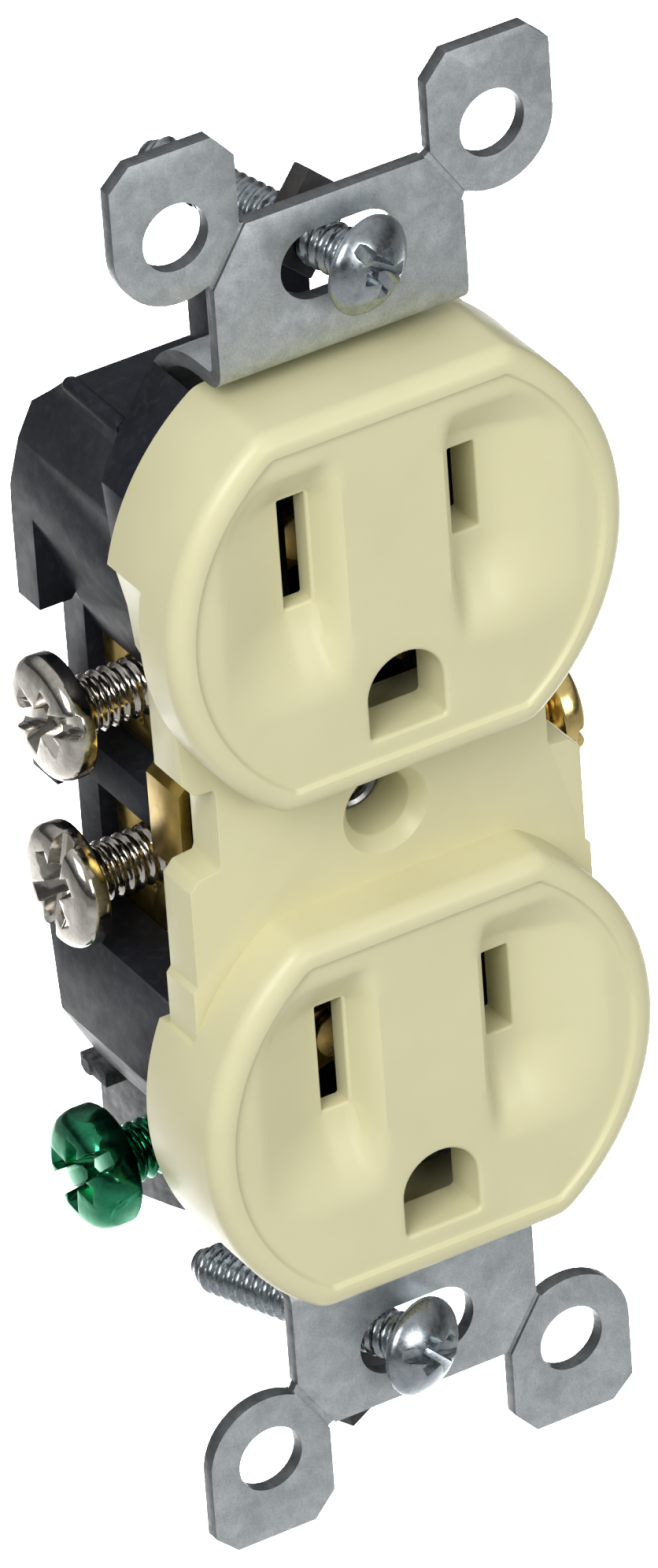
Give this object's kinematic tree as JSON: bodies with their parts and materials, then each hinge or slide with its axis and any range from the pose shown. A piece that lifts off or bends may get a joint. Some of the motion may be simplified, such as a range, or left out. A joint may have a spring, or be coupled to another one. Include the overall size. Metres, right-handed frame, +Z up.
{
  "type": "duplex wall outlet",
  "caption": "Grounded duplex wall outlet: ivory front cover with two plug faces, black back body, galvanised mounting strap with break-off ears, side terminal screws and captive box screws.",
  "frame": {"origin": "on the axis of the cover-plate screw, at the front plane of the mounting strap", "axes": "+Z up, towards the upper plug face; the plug faces look along -Y; +Y into the wall box; +X right seen from the front"},
  "size_m": [0.0394, 0.0262, 0.1068],
  "materials": {
    "ivory_plastic": "gloss",
    "black_plastic": "satin",
    "galvanised_steel": "mottled, satin",
    "dull_steel": "satin",
    "contact_brass": "bright",
    "rivet_brass": "satin",
    "clip_brass": "satin",
    "nickel_screw": "bright",
    "brass_screw": "bright",
    "green_screw": "dyed, glossy",
    "zinc_screw": "zinc, bluish",
    "black_fibre": "matte"
  },
  "bodies": {
    "outlet": {"front_cover": "ivory_plastic", "back_body": "black_plastic", "mounting_strap": "galvanised_steel", "center_eyelet": "dull_steel", "ground_contact_upper": "contact_brass", "ground_contact_lower": "contact_brass", "ground_rivet_upper": "rivet_brass", "ground_rivet_lower": "rivet_brass", "neutral_strip": "contact_brass", "hot_strip": "contact_brass", "neutral_clip_upper": "clip_brass", "neutral_clip_lower": "clip_brass", "hot_clip_upper": "clip_brass", "hot_clip_lower": "clip_brass"},
    "neutral_screw_upper": {"neutral_screw_upper": "nickel_screw"},
    "neutral_screw_lower": {"neutral_screw_lower": "nickel_screw"},
    "hot_screw_upper": {"hot_screw_upper": "brass_screw"},
    "hot_screw_lower": {"hot_screw_lower": "brass_screw"},
    "ground_screw": {"ground_screw": "green_screw"},
    "box_screw_upper": {"box_screw_upper": "zinc_screw"},
    "box_screw_lower": {"box_screw_lower": "zinc_screw"},
    "screw_retainer_upper": {"screw_retainer_upper": "black_fibre"},
    "screw_retainer_lower": {"screw_retainer_lower": "black_fibre"}
  },
  "joints": [
    {"name": "neutral_screw_upper_drive", "type": "slide", "parent": "outlet", "child": "neutral_screw_upper", "axis": [1, 0, 0], "range_m": [0, 0.00405]},
    {"name": "neutral_screw_lower_drive", "type": "slide", "parent": "outlet", "child": "neutral_screw_lower", "axis": [1, 0, 0], "range_m": [0, 0.00405]},
    {"name": "hot_screw_upper_drive", "type": "slide", "parent": "outlet", "child": "hot_screw_upper", "axis": [-1, 0, 0], "range_m": [0, 0.00405]},
    {"name": "hot_screw_lower_drive", "type": "slide", "parent": "outlet", "child": "hot_screw_lower", "axis": [-1, 0, 0], "range_m": [0, 0.00755]},
    {"name": "ground_screw_drive", "type": "slide", "parent": "outlet", "child": "ground_screw", "axis": [1, 0, 0], "range_m": [0, 0.00395]},
    {"name": "retainer_upper_lean", "type": "hinge", "parent": "outlet", "child": "screw_retainer_upper", "pos_m": [0.00018, 0.0005, 0.04167], "axis": [0, 0, -1], "range_deg": [0, 31]},
    {"name": "retainer_lower_lean", "type": "hinge", "parent": "outlet", "child": "screw_retainer_lower", "pos_m": [-0.00161, 0.0005, -0.04167], "axis": [0, 0, -1], "range_deg": [0, 38]},
    {"name": "box_screw_upper_spin", "type": "hinge", "parent": "screw_retainer_upper", "child": "box_screw_upper", "pos_m": [0.00018, 0.0005, 0.04167], "axis": [-0.2667, 0.9618, 0.061], "continuous": true},
    {"name": "box_screw_lower_spin", "type": "hinge", "parent": "screw_retainer_lower", "child": "box_screw_lower", "pos_m": [-0.00161, 0.0005, -0.04167], "axis": [-0.3253, 0.9446, -0.0436], "continuous": true}
  ]
}
